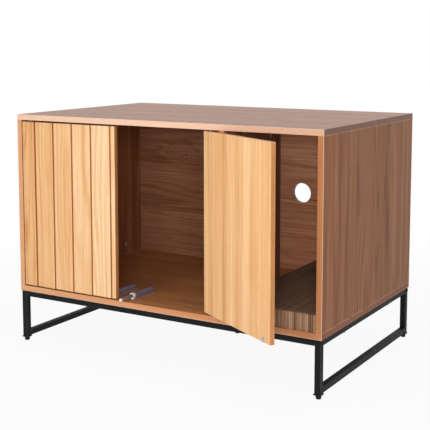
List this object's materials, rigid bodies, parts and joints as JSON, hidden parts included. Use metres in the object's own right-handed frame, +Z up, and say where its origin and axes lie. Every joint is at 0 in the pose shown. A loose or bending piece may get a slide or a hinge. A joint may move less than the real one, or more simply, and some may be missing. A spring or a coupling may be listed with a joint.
{
  "type": "cat litter box cabinet",
  "caption": "Cat litter box cabinet on a square-tube stand: pivoting slatted doors, open side niche with a lift-out scratching pad, passage behind the divider and a round vent hole.",
  "frame": {"origin": "on the floor under the middle of the part's bounding box with the left door closed and the right door standing open, as it is stored", "axes": "+X to the right along the front, +Y from the front to the back, +Z up"},
  "size_m": [0.94, 0.7456, 0.65],
  "materials": {
    "carcass_board": "printed walnut foil on chipboard, satin",
    "edge_band": "thin light oak-coloured edging, matt",
    "door_board": "light oak foil on fibreboard, satin",
    "door_slat": "light oak foil, satin",
    "zinc": "die-cast zinc, matt grey",
    "steel": "zinc-plated steel",
    "beech": "fluted beech, raw",
    "black_tube": "black powder coat, satin",
    "black_plastic": "moulded plastic, matt",
    "cardboard": "corrugated layers on edge",
    "latch_plastic": "grey moulded plastic",
    "tip_plastic": "white moulded plastic",
    "strike": "nickel-plated steel",
    "spring_steel": "bare spring wire"
  },
  "bodies": {
    "cabinet": {"bottom_panel": "carcass_board", "top_panel": "carcass_board", "left_side_panel": "carcass_board", "right_side_panel": "carcass_board", "divider_panel": "carcass_board", "back_panel": "carcass_board", "front_edge_bands": "edge_band", "cam_locks": "zinc", "cam_bolts": "steel", "wood_dowels": "beech", "back_panel_screws": "steel", "left_front_leg": "black_tube", "left_back_leg": "black_tube", "left_top_rail": "black_tube", "left_bottom_rail": "black_tube", "right_front_leg": "black_tube", "right_back_leg": "black_tube", "right_top_rail": "black_tube", "right_bottom_rail": "black_tube", "front_cross_rail": "black_tube", "back_cross_rail": "black_tube", "rail_plugs": "black_plastic", "stand_joint_screws": "black_tube", "stand_fixing_screws": "black_tube", "leg_caps": "black_plastic", "pivot_bushes": "latch_plastic", "left_latch_body": "latch_plastic", "left_latch_spring": "spring_steel", "right_latch_body": "latch_plastic", "right_latch_spring": "spring_steel", "latch_rings": "tip_plastic", "latch_screws": "steel"},
    "left_door": {"left_door_core": "door_board", "left_door_slat_1": "door_slat", "left_door_slat_2": "door_slat", "left_door_slat_3": "door_slat", "left_door_slat_4": "door_slat", "left_door_slat_5": "door_slat", "left_door_slat_6": "door_slat", "left_door_pins": "steel", "left_strike_disc": "strike"},
    "right_door": {"right_door_core": "door_board", "right_door_slat_1": "door_slat", "right_door_slat_2": "door_slat", "right_door_slat_3": "door_slat", "right_door_slat_4": "door_slat", "right_door_slat_5": "door_slat", "right_door_slat_6": "door_slat", "right_door_pins": "steel", "right_strike_disc": "strike"},
    "left_plunger": {"left_latch_plunger": "latch_plastic", "left_latch_tip": "tip_plastic"},
    "right_plunger": {"right_latch_plunger": "latch_plastic", "right_latch_tip": "tip_plastic"},
    "pad": {"scratching_pad": "cardboard"},
    "left_front_glide": {"left_front_foot": "black_plastic"},
    "left_back_glide": {"left_back_foot": "black_plastic"},
    "right_front_glide": {"right_front_foot": "black_plastic"},
    "right_back_glide": {"right_back_foot": "black_plastic"}
  },
  "joints": [
    {"name": "left_door_swing", "type": "hinge", "parent": "cabinet", "child": "left_door", "pos_m": [-0.4275, -0.21872, 0.398], "axis": [0, 0, -1], "range_deg": [0, 149.5]},
    {"name": "right_door_swing", "type": "hinge", "parent": "cabinet", "child": "right_door", "pos_m": [0.1595, -0.21872, 0.398], "axis": [0, 0, 1], "range_deg": [-149.5, 0]},
    {"name": "left_latch_push", "type": "slide", "parent": "cabinet", "child": "left_plunger", "axis": [0, -1, 0], "range_m": [0, 0.038], "deforming": ["left_latch_spring"]},
    {"name": "right_latch_push", "type": "slide", "parent": "cabinet", "child": "right_plunger", "axis": [0, -1, 0], "range_m": [-0.038, 0], "deforming": ["right_latch_spring"]},
    {"name": "left_front_foot_screw", "type": "slide", "parent": "cabinet", "child": "left_front_glide", "axis": [0, 0, -1], "range_m": [0, 0.008]},
    {"name": "left_back_foot_screw", "type": "slide", "parent": "cabinet", "child": "left_back_glide", "axis": [0, 0, -1], "range_m": [0, 0.008]},
    {"name": "right_front_foot_screw", "type": "slide", "parent": "cabinet", "child": "right_front_glide", "axis": [0, 0, -1], "range_m": [0, 0.008]},
    {"name": "right_back_foot_screw", "type": "slide", "parent": "cabinet", "child": "right_back_glide", "axis": [0, 0, -1], "range_m": [0, 0.008]},
    {"name": "pad_lift", "type": "slide", "parent": "cabinet", "child": "pad", "axis": [0, 0, 1], "range_m": [0, 0.15]}
  ],
  "couplings": [
    {"joint": "left_latch_push", "follows": "left_door_swing", "m_per_rad": 0.014563},
    {"joint": "right_latch_push", "follows": "right_door_swing", "m_per_rad": 0.014563}
  ]
}
